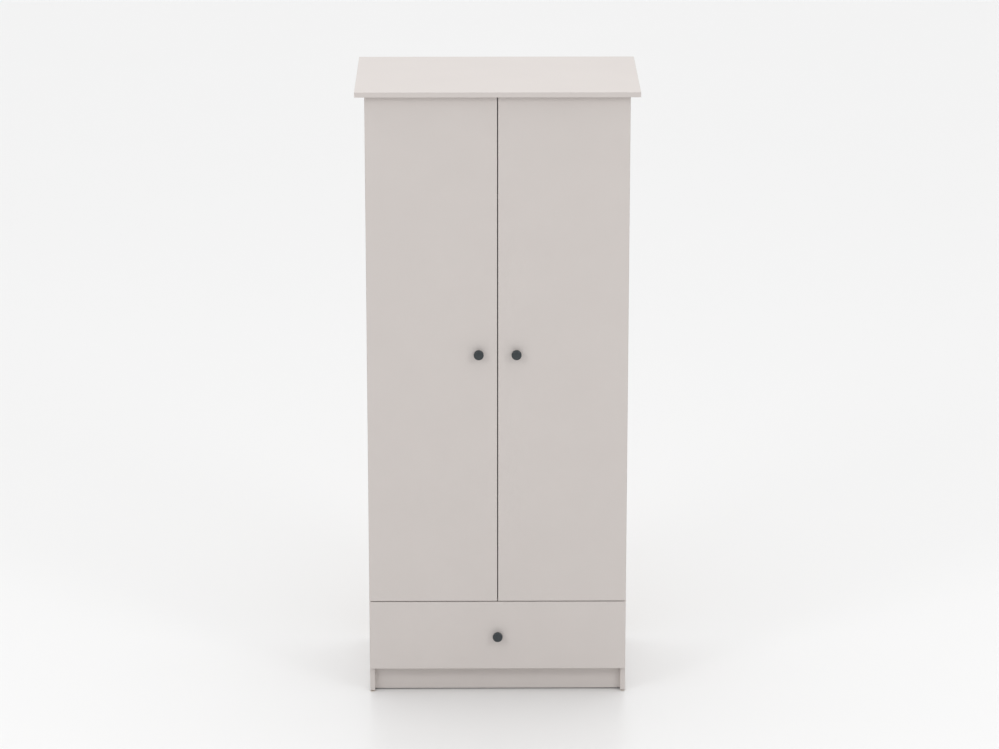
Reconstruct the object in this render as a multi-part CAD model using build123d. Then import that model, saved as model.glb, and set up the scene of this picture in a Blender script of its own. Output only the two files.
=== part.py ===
"""Two-door wardrobe with a drawer: a flat-packed carcass of faced boards, concealed hinges and roller runners.

The row frame: X to the right, Y from the front to the back, Z up, in millimetres.
The origin is on the floor, under the middle of the top panel.
Each sub-part is written to parts/NODE.step as one or more closed solids.
"""

from build123d import *
from math import cos, radians, sin
import os

os.makedirs("parts", exist_ok=True)

# ---------------------------------------------------------------- driving dimensions
HEIGHT = 2000.0
CARCASS_WIDTH = 830.0
TOP_WIDTH = 890.0
TOTAL_DEPTH = 560.0
BOARD = 16.0  # every faced board
BACK_BOARD = 3.0  # hardboard
FRONT_OVERHANG = 30.0  # top panel past the door faces
REVEAL = 3.0  # gap between neighbouring fronts
FRONT_STANDOFF = 2.0  # gap between the fronts and the carcass, kept by the bumpers
EDGE_INSET = 1.5  # fronts inside the carcass's outer faces
GLIDE_HEIGHT = 4.0
PLINTH_TOP = 84.0
DRAWER_FRONT_BOTTOM = 85.0
DRAWER_FRONT_TOP = 315.0
HAT_SHELF_BOTTOM = 1650.0
EDGE_RADIUS = 0.8  # edge banding on the carcass
FRONT_RADIUS = 1.0  # edge banding on the doors, the drawer front and the top
STRIP_FLANGE = 1.0  # thickness of the profile that joins the two back boards

# ---------------------------------------------------------------- planes worked out from them
HALF_CARCASS = CARCASS_WIDTH / 2
HALF_INSIDE = HALF_CARCASS - BOARD
HALF_FRONT = HALF_CARCASS - EDGE_INSET
TOP_FRONT_Y = -TOTAL_DEPTH / 2
FACE_Y = TOP_FRONT_Y + FRONT_OVERHANG  # front faces of the doors and the drawer
FRONTS_BACK_Y = FACE_Y + BOARD
CARCASS_FRONT_Y = FRONTS_BACK_Y + FRONT_STANDOFF
BACK_OUTER_Y = TOTAL_DEPTH / 2 - STRIP_FLANGE
BACK_INNER_Y = BACK_OUTER_Y - BACK_BOARD
TOP_UNDERSIDE = HEIGHT - BOARD
DOOR_BOTTOM = DRAWER_FRONT_TOP + REVEAL
DOOR_TOP = TOP_UNDERSIDE - REVEAL
DOOR_MIDDLE = (DOOR_BOTTOM + DOOR_TOP) / 2
DECK_BOTTOM = DRAWER_FRONT_TOP + REVEAL / 2 - BOARD / 2  # the gap between the fronts lies on its middle

X, Y, Z = Vector(1, 0, 0), Vector(0, 1, 0), Vector(0, 0, 1)
SIDES = (-1, 1)  # left, right
FROM_START = (Align.CENTER, Align.CENTER, Align.MIN)


# ---------------------------------------------------------------- helpers
def block(low, high):
    """A box from its lowest to its highest corner."""
    size = [b - a for a, b in zip(low, high)]
    middle = [(a + b) / 2 for a, b in zip(low, high)]
    return Pos(*middle) * Box(*size)


def placed(shape, start, direction):
    """A shape modelled from the origin up +Z, moved to start and turned to a direction."""
    return Plane(origin=start, z_dir=direction) * shape


def rod(start, direction, radius, length):
    """A cylinder that starts at a point and runs along a direction."""
    return placed(Cylinder(radius, length, align=FROM_START), start, direction)


def soften(shape, along, across, end, radius=EDGE_RADIUS):
    """Rounds the edges that run along one axis, at the first (0) or last (-1) place across another."""
    return fillet(shape.edges().filter_by(along).group_by(across)[end], radius)


def on_side(side, shape):
    """A shape modelled on the left, put on the left (-1) or on the right (1)."""
    return shape if side < 0 else mirror(shape, about=Plane.YZ)


def side_name(side):
    return "left" if side < 0 else "right"


def save(name, *shapes):
    """Writes one node. Its solids stay separate solids in one file."""
    solids = [solid for shape in shapes for solid in shape.solids()]
    export_step(solids[0] if len(solids) == 1 else Compound(solids), f"parts/{name}.step")


def cross_recess(width, length, depth):
    """The cross that a screwdriver fits, centred on the origin and cut up +Z."""
    slot = Box(length, width, depth, align=FROM_START)
    return slot + Rot(0, 0, 90) * slot


def pan_screw(length, radius, head_radius, head_height):
    """A pan-head screw up +Z, with the underside of its head at the origin."""
    head = Pos(0, 0, -head_height) * Cylinder(head_radius, head_height, align=FROM_START)
    head = fillet(head.edges().group_by(Axis.Z)[0], head_height * 0.45)
    head -= Pos(0, 0, -head_height) * cross_recess(0.8, head_radius * 1.1, head_height * 0.5)
    shank = Cylinder(radius, length - radius, align=FROM_START)
    tip = Cone(radius, radius * 0.3, radius, align=FROM_START)
    return head + shank + Pos(0, 0, length - radius) * tip


# ---------------------------------------------------------------- knock-down fittings
CAM_RADIUS = 7.4
CAM_HEIGHT = 12.6
CAM_SETBACK = 24.0  # the cam's middle from the board's end
POCKET_RADIUS = 7.5
POCKET_DEPTH = 13.0
THREAD_RADIUS = 3.0
THREAD_LENGTH = 11.0
SHANK_RADIUS = 2.5
BOLT_HEAD_RADIUS = 3.4
BOLT_HEAD_LENGTH = 4.0
BOLT_BORE_RADIUS = 4.0
DOWEL_RADIUS = 3.95
DOWEL_HOLE_RADIUS = 4.0
DOWEL_IN_FACE = 10.5
DOWEL_IN_END = 18.5
HOLE_SPARE = 0.5  # holes are this much deeper than what goes in


def make_cam():
    """A cam lock: its face at the origin, its body up +Z, and the bolt's channel from -X."""
    cam = Cylinder(CAM_RADIUS, CAM_HEIGHT, align=FROM_START)
    cam -= rod((-CAM_SETBACK, 0, BOARD / 2), X, BOLT_BORE_RADIUS, CAM_SETBACK + 1.0)
    return cam - cross_recess(1.6, 9.0, 2.2)


def make_cam_bolt():
    """A cam bolt up +Z: its thread below the origin, and its shank and head above."""
    shank_length = CAM_SETBACK - BOLT_HEAD_LENGTH
    bolt = Pos(0, 0, -THREAD_LENGTH) * Cylinder(THREAD_RADIUS, THREAD_LENGTH, align=FROM_START)
    bolt += Cylinder(SHANK_RADIUS, shank_length, align=FROM_START)
    return bolt + Pos(0, 0, shank_length) * Cylinder(BOLT_HEAD_RADIUS, BOLT_HEAD_LENGTH, align=FROM_START)


def make_dowel():
    """A wooden dowel up +Z, with the joint's plane at the origin."""
    dowel = Cylinder(DOWEL_RADIUS, DOWEL_IN_FACE + DOWEL_IN_END, align=FROM_START)
    return Pos(0, 0, -DOWEL_IN_FACE) * chamfer(dowel.edges().filter_by(GeomType.CIRCLE), 0.8)


class Fittings:
    """Collects the cams, bolts and dowels of one cabinet or drawer, and cuts their holes."""

    cam, bolt, dowel = make_cam(), make_cam_bolt(), make_dowel()

    def __init__(self):
        self.cams, self.bolts, self.dowels = [], [], []

    def cam_joint(self, at, into_end, to_face, end_board, face_board):
        """A cam in end_board draws in a bolt that is screwed into face_board.

        at lies on the joint's plane, in the middle of end_board's thickness. into_end points into end_board,
        and to_face points to the face that the cam's pocket opens on. Returns both boards with their holes.
        """
        at = Vector(*at)
        face = at + into_end * CAM_SETBACK + to_face * (BOARD / 2)
        self.cams.append(Plane(origin=face, x_dir=into_end, z_dir=-to_face) * self.cam)
        self.bolts.append(placed(self.bolt, at, into_end))
        end_board -= rod(face, -to_face, POCKET_RADIUS, POCKET_DEPTH)
        end_board -= rod(at, into_end, BOLT_BORE_RADIUS, CAM_SETBACK)
        face_board -= rod(at, -into_end, THREAD_RADIUS, THREAD_LENGTH + HOLE_SPARE)
        return end_board, face_board

    def dowel_joint(self, at, into_end, end_board, face_board):
        """A dowel across the joint. Returns both boards with their holes."""
        self.dowels.append(placed(self.dowel, at, into_end))
        end_board -= rod(at, into_end, DOWEL_HOLE_RADIUS, DOWEL_IN_END + HOLE_SPARE)
        face_board -= rod(at, -into_end, DOWEL_HOLE_RADIUS, DOWEL_IN_FACE + HOLE_SPARE)
        return end_board, face_board


# ---------------------------------------------------------------- carcass boards
TOP_BACK_Y = BACK_INNER_Y
PLINTH_FRONT_Y = CARCASS_FRONT_Y + 20.0
REAR_RAIL_FRONT_Y = BACK_INNER_Y - 9.0 - BOARD
CAM_YS = (-170.0, 205.0)
DOWEL_YS = (-202.0, 237.0)
RAIL_CAM_Z = 56.0  # fittings at the ends of the plinth and the rear rail
RAIL_DOWEL_Z = 26.0
NOTCH_HALF_WIDTH = 8.5  # lets the back's joining strip pass behind a board
NOTCH_DEPTH = 1.2


def strip_notch(z_low, z_high):
    low = (-NOTCH_HALF_WIDTH, BACK_INNER_Y - NOTCH_DEPTH, z_low)
    return block(low, (NOTCH_HALF_WIDTH, BACK_INNER_Y, z_high))


def level_board(z_low):
    """A board between the sides: the bottom, the deck over the drawer, or the hat shelf."""
    low = (-HALF_INSIDE, CARCASS_FRONT_Y, z_low)
    panel = block(low, (HALF_INSIDE, BACK_INNER_Y, z_low + BOARD))
    return soften(panel, Axis.X, Axis.Y, 0) - strip_notch(z_low, z_low + BOARD)


def side_board(side):
    """A side panel that reaches down to the glides."""
    inner, outer = side * HALF_INSIDE, side * HALF_CARCASS
    low = (min(inner, outer), CARCASS_FRONT_Y, GLIDE_HEIGHT)
    panel = block(low, (max(inner, outer), BACK_INNER_Y, TOP_UNDERSIDE))
    return soften(panel, Axis.Z, Axis.Y, 0)


def cross_rail(front_y):
    """The plinth or the rear rail: an upright board on edge between the sides."""
    return block((-HALF_INSIDE, front_y, GLIDE_HEIGHT), (HALF_INSIDE, front_y + BOARD, PLINTH_TOP))


top_panel = block((-TOP_WIDTH / 2, TOP_FRONT_Y, TOP_UNDERSIDE), (TOP_WIDTH / 2, TOP_BACK_Y, HEIGHT))
top_panel = fillet(top_panel.edges(), FRONT_RADIUS) - strip_notch(TOP_UNDERSIDE, HEIGHT)
side_panels = {side: side_board(side) for side in SIDES}
level_boards = {
    "bottom_panel": level_board(PLINTH_TOP),
    "middle_deck": level_board(DECK_BOTTOM),
    "hat_shelf": level_board(HAT_SHELF_BOTTOM),
}
LEVEL_BOTTOMS = {"bottom_panel": PLINTH_TOP, "middle_deck": DECK_BOTTOM, "hat_shelf": HAT_SHELF_BOTTOM}
cross_rails = {"plinth_board": cross_rail(PLINTH_FRONT_Y), "rear_rail": cross_rail(REAR_RAIL_FRONT_Y)}
RAIL_MIDDLES = {"plinth_board": PLINTH_FRONT_Y + BOARD / 2, "rear_rail": REAR_RAIL_FRONT_Y + BOARD / 2}
RAIL_CAM_FACES = {"plinth_board": Y, "rear_rail": -Y}  # the faces that look into the hollow base

carcass_fittings = Fittings()
for side in SIDES:
    inward = X * -side
    side_panel = side_panels[side]
    for y in CAM_YS:
        at = (side * (HALF_INSIDE + BOARD / 2), y, TOP_UNDERSIDE)
        side_panel, top_panel = carcass_fittings.cam_joint(at, -Z, inward, side_panel, top_panel)
    for y in DOWEL_YS:
        at = (side * (HALF_INSIDE + BOARD / 2), y, TOP_UNDERSIDE)
        side_panel, top_panel = carcass_fittings.dowel_joint(at, -Z, side_panel, top_panel)
    for name, z_low in LEVEL_BOTTOMS.items():
        panel = level_boards[name]
        for y in CAM_YS:
            at = (side * HALF_INSIDE, y, z_low + BOARD / 2)
            panel, side_panel = carcass_fittings.cam_joint(at, inward, -Z, panel, side_panel)
        for y in DOWEL_YS:
            at = (side * HALF_INSIDE, y, z_low + BOARD / 2)
            panel, side_panel = carcass_fittings.dowel_joint(at, inward, panel, side_panel)
        level_boards[name] = panel
    for name, rail_y in RAIL_MIDDLES.items():
        rail = cross_rails[name]
        at = (side * HALF_INSIDE, rail_y, RAIL_CAM_Z)
        rail, side_panel = carcass_fittings.cam_joint(at, inward, RAIL_CAM_FACES[name], rail, side_panel)
        at = (side * HALF_INSIDE, rail_y, RAIL_DOWEL_Z)
        rail, side_panel = carcass_fittings.dowel_joint(at, inward, rail, side_panel)
        cross_rails[name] = rail
    side_panels[side] = side_panel

# ---------------------------------------------------------------- floor glides
GLIDE_HALF_WIDTH = 7.0
GLIDE_HALF_LENGTH = 30.0
GLIDE_YS = (CARCASS_FRONT_Y + 42.0, BACK_INNER_Y - 42.0)


def floor_glide(side, y):
    """A plastic pad under the end of a side panel."""
    x = side * (HALF_CARCASS - BOARD / 2)
    low = (x - GLIDE_HALF_WIDTH, y - GLIDE_HALF_LENGTH, 0)
    pad = block(low, (x + GLIDE_HALF_WIDTH, y + GLIDE_HALF_LENGTH, GLIDE_HEIGHT))
    return fillet(pad.edges().filter_by(Axis.Z), 3.0)


save("floor_glides", *[floor_glide(side, y) for side in SIDES for y in GLIDE_YS])

# ---------------------------------------------------------------- back: two hardboards, a strip and nails
BACK_EDGE_X = HALF_CARCASS - 2.0
BACK_MIDDLE_X = 2.0
BACK_BOTTOM = PLINTH_TOP + 2.0
BACK_TOP = HEIGHT - 2.0
STRIP_WEB = 3.0
STRIP_HALF_WIDTH = 8.0
NAIL_RADIUS = 0.7
NAIL_LENGTH = 18.0
NAIL_HEAD_RADIUS = 2.2
NAIL_HEAD_HEIGHT = 0.6
NAIL_ROWS_Z = 13  # nails up each side
NAIL_XS = (60.0, 180.0, 300.0)  # nails along each level board, mirrored

back_strip = block((-STRIP_WEB / 2, BACK_INNER_Y, BACK_BOTTOM), (STRIP_WEB / 2, BACK_OUTER_Y, BACK_TOP))
for y in (BACK_INNER_Y - STRIP_FLANGE, BACK_OUTER_Y):
    low = (-STRIP_HALF_WIDTH, y, BACK_BOTTOM)
    back_strip += block(low, (STRIP_HALF_WIDTH, y + STRIP_FLANGE, BACK_TOP))
save("back_joining_strip", back_strip)

WALL_HOLE_RADIUS = 2.75
WALL_HOLE_X = 250.0
WALL_HOLE_Z = TOP_UNDERSIDE - 18.0
for side in SIDES:
    edges_x = sorted((side * BACK_MIDDLE_X, side * BACK_EDGE_X))
    low = (edges_x[0], BACK_INNER_Y, BACK_BOTTOM)
    back_panel = block(low, (edges_x[1], BACK_OUTER_Y, BACK_TOP))
    back_panel -= rod((side * WALL_HOLE_X, BACK_INNER_Y, WALL_HOLE_Z), Y, WALL_HOLE_RADIUS, BACK_BOARD)
    save(f"{side_name(side)}_back_panel", back_panel)

nail = Cylinder(NAIL_RADIUS, NAIL_LENGTH, align=FROM_START)
nail += Pos(0, 0, -NAIL_HEAD_HEIGHT) * Cylinder(NAIL_HEAD_RADIUS, NAIL_HEAD_HEIGHT, align=FROM_START)
side_nail_low = BACK_BOTTOM + 54.0
side_nail_step = (TOP_UNDERSIDE - 44.0 - side_nail_low) / (NAIL_ROWS_Z - 1)
nail_places = []
for side in SIDES:
    for row in range(NAIL_ROWS_Z):
        nail_places.append((side * (HALF_INSIDE + BOARD / 2), side_nail_low + row * side_nail_step))
    for z_low in (*LEVEL_BOTTOMS.values(), TOP_UNDERSIDE):
        for x in NAIL_XS:
            nail_places.append((side * x, z_low + BOARD / 2))
save("back_panel_nails", *[placed(nail, (x, BACK_OUTER_Y, z), -Y) for x, z in nail_places])

# ---------------------------------------------------------------- wall brackets under the top's rear edge
BRACKET_HALF_WIDTH = 15.0
BRACKET_LEG = 30.0
BRACKET_STEEL = 1.5
BRACKET_SCREW_RADIUS = 1.9
bracket_screw = pan_screw(13.0, BRACKET_SCREW_RADIUS, 3.8, 2.0)
wall_brackets, wall_bracket_screws = [], []
for side in SIDES:
    x = side * WALL_HOLE_X
    leg_low = TOP_UNDERSIDE - BRACKET_LEG
    low = (x - BRACKET_HALF_WIDTH, BACK_INNER_Y - BRACKET_STEEL, leg_low)
    bracket = block(low, (x + BRACKET_HALF_WIDTH, BACK_INNER_Y, TOP_UNDERSIDE))
    low = (x - BRACKET_HALF_WIDTH, BACK_INNER_Y - BRACKET_LEG, TOP_UNDERSIDE - BRACKET_STEEL)
    bracket += block(low, (x + BRACKET_HALF_WIDTH, BACK_INNER_Y, TOP_UNDERSIDE))
    wall_hole_start = (x, BACK_INNER_Y - BRACKET_STEEL, WALL_HOLE_Z)
    bracket -= rod(wall_hole_start, Y, WALL_HOLE_RADIUS, BRACKET_STEEL)
    for dx in (-7.0, 7.0):
        at = (x + dx, BACK_INNER_Y - 20.0, TOP_UNDERSIDE - BRACKET_STEEL)
        bracket -= rod(at, Z, BRACKET_SCREW_RADIUS + 0.3, BRACKET_STEEL)
        top_panel -= rod(at, Z, BRACKET_SCREW_RADIUS, 13.0)
        wall_bracket_screws.append(placed(bracket_screw, at, Z))
    wall_brackets.append(bracket)
save("wall_brackets", *wall_brackets)
save("wall_bracket_screws", *wall_bracket_screws)

# ---------------------------------------------------------------- hanging rail: an oval tube in two sockets
RAIL_Y = 22.0
RAIL_Z = HAT_SHELF_BOTTOM - 50.0
RAIL_HALF_HEIGHT = 15.0
RAIL_HALF_WIDTH = 7.5
RAIL_WALL = 1.5
SOCKET_FLANGE = 2.5
SOCKET_COLLAR = 12.0
SOCKET_WALL = 2.2
SOCKET_CLEARANCE = 0.2
SOCKET_SCREW_RADIUS = 1.9
SOCKET_SCREW_Z = 24.0  # from the rail's middle


def oval_bar(half_width, half_height, x_start, x_end):
    """A solid bar along X with round top and bottom, centred on the rail."""
    straight = half_height - half_width
    bar = block(
        (x_start, RAIL_Y - half_width, RAIL_Z - straight),
        (x_end, RAIL_Y + half_width, RAIL_Z + straight),
    )
    for z in (RAIL_Z - straight, RAIL_Z + straight):
        bar += rod((x_start, RAIL_Y, z), X, half_width, x_end - x_start)
    return bar


def rail_socket():
    """The left socket: a long flange on the side panel and a collar around the rail's end."""
    low = (-HALF_INSIDE, RAIL_Y - 16.0, RAIL_Z - 31.0)
    flange = block(low, (-HALF_INSIDE + SOCKET_FLANGE, RAIL_Y + 16.0, RAIL_Z + 31.0))
    flange = fillet(flange.edges().filter_by(Axis.X), 12.0)
    grow = SOCKET_CLEARANCE + SOCKET_WALL
    collar_end = -HALF_INSIDE + SOCKET_FLANGE + SOCKET_COLLAR
    outside = oval_bar(RAIL_HALF_WIDTH + grow, RAIL_HALF_HEIGHT + grow, -HALF_INSIDE, collar_end)
    clear_width = RAIL_HALF_WIDTH + SOCKET_CLEARANCE
    clear_height = RAIL_HALF_HEIGHT + SOCKET_CLEARANCE
    inside = oval_bar(clear_width, clear_height, -HALF_INSIDE + SOCKET_FLANGE, collar_end)
    socket = flange + outside - inside
    for dz in (-SOCKET_SCREW_Z, SOCKET_SCREW_Z):
        at = (-HALF_INSIDE, RAIL_Y, RAIL_Z + dz)
        socket -= rod(at, X, SOCKET_SCREW_RADIUS + 0.2, SOCKET_FLANGE)
    return socket


rail_end = HALF_INSIDE - SOCKET_FLANGE - 0.1
rail = oval_bar(RAIL_HALF_WIDTH, RAIL_HALF_HEIGHT, -rail_end, rail_end)
rail -= oval_bar(RAIL_HALF_WIDTH - RAIL_WALL, RAIL_HALF_HEIGHT - RAIL_WALL, -rail_end, rail_end)
save("hanging_rail", rail)

socket_screw = pan_screw(14.0, SOCKET_SCREW_RADIUS, 3.6, 1.8)
socket_screws = []
for side in SIDES:
    save(f"{side_name(side)}_rail_socket", on_side(side, rail_socket()))
    for dz in (-SOCKET_SCREW_Z, SOCKET_SCREW_Z):
        head_x = side * (HALF_INSIDE - SOCKET_FLANGE)
        at = (head_x, RAIL_Y, RAIL_Z + dz)
        socket_screws.append(placed(socket_screw, at, X * side))
        side_panels[side] -= rod(at, X * side, SOCKET_SCREW_RADIUS, 14.0)
save("rail_socket_screws", *socket_screws)

# ---------------------------------------------------------------- concealed hinges
# Each hinge lies in a horizontal plane. in_x counts from the side panel's outer face, on the left side of
# the wardrobe, and in_y from the carcass's front edge, so the door is at in_y below zero.
HINGE_END_DISTANCE = 100.0  # upper and lower hinges from the door's ends
HINGE_ZS = (DOOR_BOTTOM + HINGE_END_DISTANCE, DOOR_MIDDLE, DOOR_TOP - HINGE_END_DISTANCE)
PIVOT_IN_X = 8.0
PIVOT_IN_Y = -12.0
CUP_IN_X = 22.0
CUP_RADIUS = 17.4
CUP_INNER_RADIUS = 16.5
CUP_DEPTH = 13.0
CUP_FLOOR = 0.8
CUP_HOLE_RADIUS = 17.5
CUP_RIM_RADIUS = 19.5
CUP_RIM = 1.0  # thickness of the flange that lies on the door
RIM_CUT_IN_X = 5.5  # the flange stops here, so that it clears the carcass as the door turns
CUP_SCREW_IN_X = CUP_IN_X + 6.0
CUP_SCREW_DZ = 24.0
CUP_SCREW_RADIUS = 1.9
CUP_SCREW_LENGTH = 12.0
EAR_RADIUS = 7.0
PIN_RADIUS = 1.25
PIN_HALF_LENGTH = 8.2
EYE_RADIUS = 1.9
EYE_BORE_RADIUS = 1.3
HOOK_STEEL = 1.8
HOOK_HALF_WIDTH = 3.5
HOOK_TILT = 2.5  # degrees, towards the cup's floor
HOOK_REACH = 14.5
ARM_STEEL = 1.2
ARM_HALF_WIDTH = 8.0
ARM_WEB_IN_X = 27.0
ARM_FLANGE_IN_X = 20.0
ARM_LENGTH = 60.0
PLATE_SCREW_IN_Y = 37.0
PLATE_SCREW_DZ = 16.0
PLATE_SCREW_RADIUS = 2.2
PLATE_SCREW_LENGTH = 14.0
WING_STEEL = 2.0
WING_HALF_HEIGHT = 26.0
WING_HALF_DEPTH = 10.0
ADJUSTER_RADIUS = 2.0
ADJUSTER_LENGTH = 8.0
ADJUSTER_IN_YS = (27.0, 50.0)


def hinge_point(in_x, in_y, z):
    return (-HALF_CARCASS + in_x, CARCASS_FRONT_Y + in_y, z)


def hinge_block(in_xs, in_ys, zs):
    return block(hinge_point(in_xs[0], in_ys[0], zs[0]), hinge_point(in_xs[1], in_ys[1], zs[1]))


def hinge_pin(z):
    """The pin across the cup that the door turns on."""
    low = hinge_point(PIVOT_IN_X, PIVOT_IN_Y, z - PIN_HALF_LENGTH)
    return rod(low, Z, PIN_RADIUS, 2 * PIN_HALF_LENGTH)


def hinge_cup(z):
    """A pressed steel cup in the door, with a flange and two screw ears on the door's inner face."""
    back = -FRONT_STANDOFF
    cup = rod(hinge_point(CUP_IN_X, back - CUP_DEPTH, z), Y, CUP_RADIUS, CUP_DEPTH)
    cup += rod(hinge_point(CUP_IN_X, back, z), Y, CUP_RIM_RADIUS, CUP_RIM)
    ear_xs = (CUP_SCREW_IN_X - EAR_RADIUS, CUP_SCREW_IN_X + EAR_RADIUS)
    cup += hinge_block(ear_xs, (back, back + CUP_RIM), (z - CUP_SCREW_DZ, z + CUP_SCREW_DZ))
    for dz in (-CUP_SCREW_DZ, CUP_SCREW_DZ):
        cup += rod(hinge_point(CUP_SCREW_IN_X, back, z + dz), Y, EAR_RADIUS, CUP_RIM)
        cup -= rod(hinge_point(CUP_SCREW_IN_X, back, z + dz), Y, CUP_SCREW_RADIUS + 0.2, CUP_RIM)
    cup -= hinge_block((0, RIM_CUT_IN_X), (back, back + CUP_RIM), (z - CUP_RIM_RADIUS, z + CUP_RIM_RADIUS))
    hollow_start = hinge_point(CUP_IN_X, back - CUP_DEPTH + CUP_FLOOR, z)
    cup -= rod(hollow_start, Y, CUP_INNER_RADIUS, CUP_DEPTH + CUP_RIM)
    return cup - hinge_pin(z)


def hinge_hook(z):
    """The curved arm that reaches from the pin out of the cup and over the side panel's edge."""
    reach_x = PIVOT_IN_X + HOOK_REACH * cos(radians(HOOK_TILT))
    reach_y = PIVOT_IN_Y - HOOK_REACH * sin(radians(HOOK_TILT))
    tail_x = ARM_WEB_IN_X - HOOK_STEEL / 2
    route = [
        (PIVOT_IN_X, PIVOT_IN_Y),
        (reach_x, reach_y),
        (reach_x, 1.0),
        (tail_x, 5.0),
        (tail_x, 17.0),
    ]
    z_low = z - HOOK_HALF_WIDTH
    line = FilletPolyline(*[hinge_point(*point, 0)[:2] for point in route], radius=1.8)
    hook = Pos(0, 0, z_low) * extrude(trace(line, HOOK_STEEL), 2 * HOOK_HALF_WIDTH)
    pivot_low = hinge_point(PIVOT_IN_X, PIVOT_IN_Y, z_low)
    hook += rod(pivot_low, Z, EYE_RADIUS, 2 * HOOK_HALF_WIDTH)
    return hook - rod(pivot_low, Z, EYE_BORE_RADIUS, 2 * HOOK_HALF_WIDTH)


def hinge_arm(z):
    """A channel that straddles the mounting plate, with the hook's tail welded inside it."""
    web_xs = (ARM_WEB_IN_X, ARM_WEB_IN_X + ARM_STEEL)
    in_ys = (0.5, ARM_LENGTH)
    arm = hinge_block(web_xs, in_ys, (z - ARM_HALF_WIDTH, z + ARM_HALF_WIDTH))
    for z_low in (z - ARM_HALF_WIDTH, z + ARM_HALF_WIDTH - ARM_STEEL):
        arm += hinge_block((ARM_FLANGE_IN_X, ARM_WEB_IN_X), in_ys, (z_low, z_low + ARM_STEEL))
    for in_y in ADJUSTER_IN_YS:
        arm -= rod(hinge_point(ARM_WEB_IN_X, in_y, z), X, ADJUSTER_RADIUS + 0.2, ARM_STEEL)
    return arm


def hinge_plate(z):
    """A mounting plate: two wings screwed to the side panel, and the rail that carries the arm."""
    wing_ys = (PLATE_SCREW_IN_Y - WING_HALF_DEPTH, PLATE_SCREW_IN_Y + WING_HALF_DEPTH)
    plate = hinge_block((BOARD, BOARD + WING_STEEL), wing_ys, (z - WING_HALF_HEIGHT, z + WING_HALF_HEIGHT))
    plate = fillet(plate.edges().filter_by(Axis.X), 6.0)
    plate += hinge_block((BOARD, ARM_WEB_IN_X), (19.0, 58.0), (z - 6.0, z + 6.0))
    for dz in (-PLATE_SCREW_DZ, PLATE_SCREW_DZ):
        at = hinge_point(BOARD, PLATE_SCREW_IN_Y, z + dz)
        plate -= rod(at, X, PLATE_SCREW_RADIUS + 0.2, WING_STEEL)
    for in_y in ADJUSTER_IN_YS:
        at = hinge_point(ARM_WEB_IN_X, in_y, z)
        plate -= rod(at, -X, ADJUSTER_RADIUS, ADJUSTER_LENGTH)
    return plate


cup_screw = pan_screw(CUP_SCREW_LENGTH, CUP_SCREW_RADIUS, 3.6, 1.2)
plate_screw = pan_screw(PLATE_SCREW_LENGTH, PLATE_SCREW_RADIUS, 4.0, 1.8)
adjuster = pan_screw(ADJUSTER_LENGTH, ADJUSTER_RADIUS, 3.4, 1.8)
cup_screw_places = [(z, dz) for z in HINGE_ZS for dz in (-CUP_SCREW_DZ, CUP_SCREW_DZ)]

hinge_arms, hinge_hooks, hinge_plates, plate_screws, adjusters = [], [], [], [], []
for side in SIDES:
    for z in HINGE_ZS:
        hinge_arms.append(on_side(side, hinge_arm(z)))
        hinge_hooks.append(on_side(side, hinge_hook(z)))
        hinge_plates.append(on_side(side, hinge_plate(z)))
        for dz in (-PLATE_SCREW_DZ, PLATE_SCREW_DZ):
            at = hinge_point(BOARD + WING_STEEL, PLATE_SCREW_IN_Y, z + dz)
            plate_screws.append(on_side(side, placed(plate_screw, at, -X)))
            hole = rod(at, -X, PLATE_SCREW_RADIUS, PLATE_SCREW_LENGTH)
            side_panels[side] -= on_side(side, hole)
        for in_y in ADJUSTER_IN_YS:
            at = hinge_point(ARM_WEB_IN_X + ARM_STEEL, in_y, z)
            adjusters.append(on_side(side, placed(adjuster, at, -X)))
save("hinge_arms", *hinge_arms)
save("hinge_hooks", *hinge_hooks)
save("hinge_plates", *hinge_plates)
save("hinge_plate_screws", *plate_screws)
save("hinge_adjusting_screws", *adjusters)

# ---------------------------------------------------------------- knobs
KNOB_RADIUS = 16.0
KNOB_PROJECTION = 25.0
KNOB_WAIST_RADIUS = 6.5
KNOB_FOOT_RADIUS = 8.5
KNOB_WAIST_LENGTH = 9.0
KNOB_UNDERSIDE = 4.0  # how far the head's underside sweeps forward
KNOB_DOME = 1.0
KNOB_CROWN_RADIUS = 2.0  # flat middle of the dome
KNOB_EDGE = 3.0
KNOB_SCREW_RADIUS = 2.0
KNOB_SCREW_IN_KNOB = 10.0
DOOR_KNOB_X = 60.0
DRAWER_KNOB_Z = (DRAWER_FRONT_BOTTOM + DRAWER_FRONT_TOP) / 2


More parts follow.
